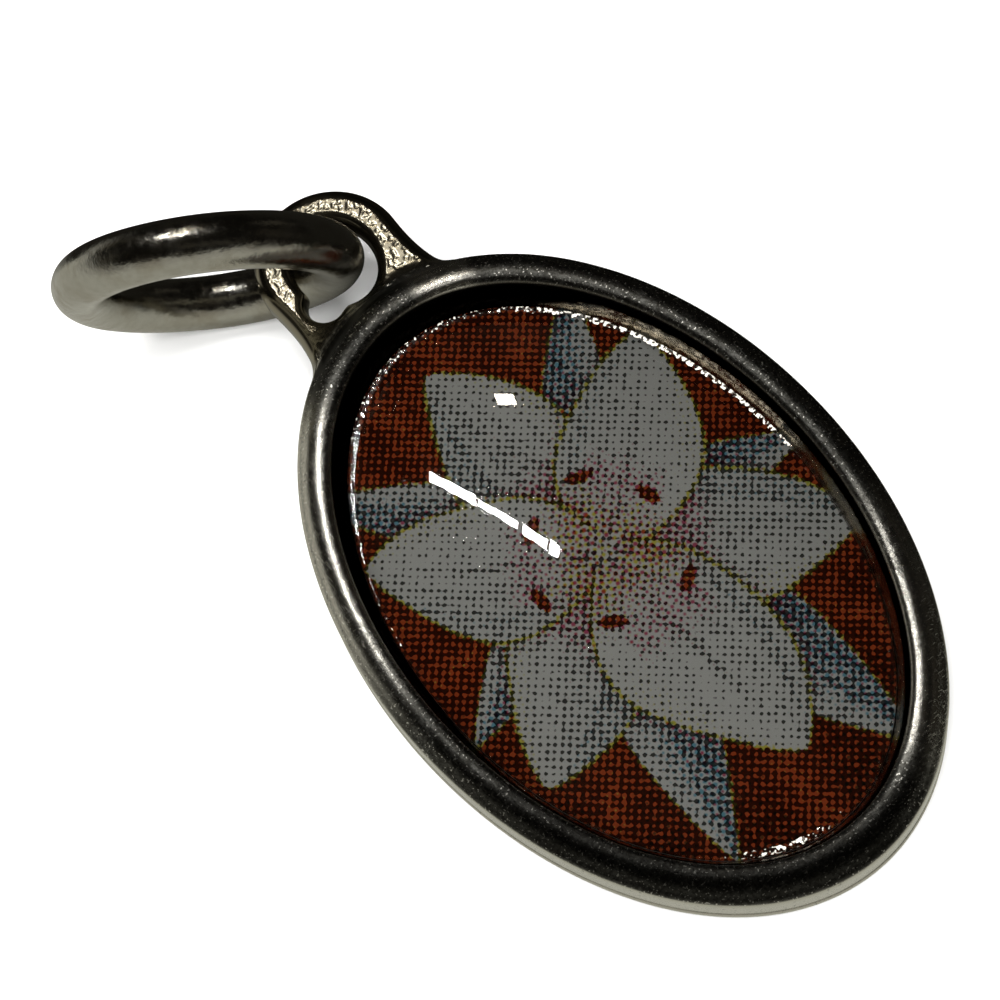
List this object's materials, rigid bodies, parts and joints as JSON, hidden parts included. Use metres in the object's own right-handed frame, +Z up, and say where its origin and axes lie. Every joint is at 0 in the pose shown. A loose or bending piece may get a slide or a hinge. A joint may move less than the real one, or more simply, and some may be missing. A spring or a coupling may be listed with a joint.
{
  "type": "religious medal pendant",
  "caption": "Oval cast-metal medal with a pierced lug, a printed oval picture under a clear domed cover, and a round wire jump ring, lying on its back.",
  "frame": {"origin": "on the surface that the pendant lies on, under the middle of its box", "axes": "+Y along the medal towards its lug and ring, +X to the medal's right as the picture is seen, +Z up out of the picture"},
  "size_m": [0.015, 0.0282, 0.0089],
  "materials": {
    "cast_metal": "worn satin cast silver-coloured metal, darkened, with a stippled lug",
    "printed_card": "halftone print on white card",
    "clear_resin": "clear glossy cast resin",
    "wire_metal": "polished round wire"
  },
  "bodies": {
    "root": {"medal_case": "cast_metal", "printed_picture": "printed_card", "clear_cover": "clear_resin", "jump_ring": "wire_metal"}
  },
  "joints": []
}
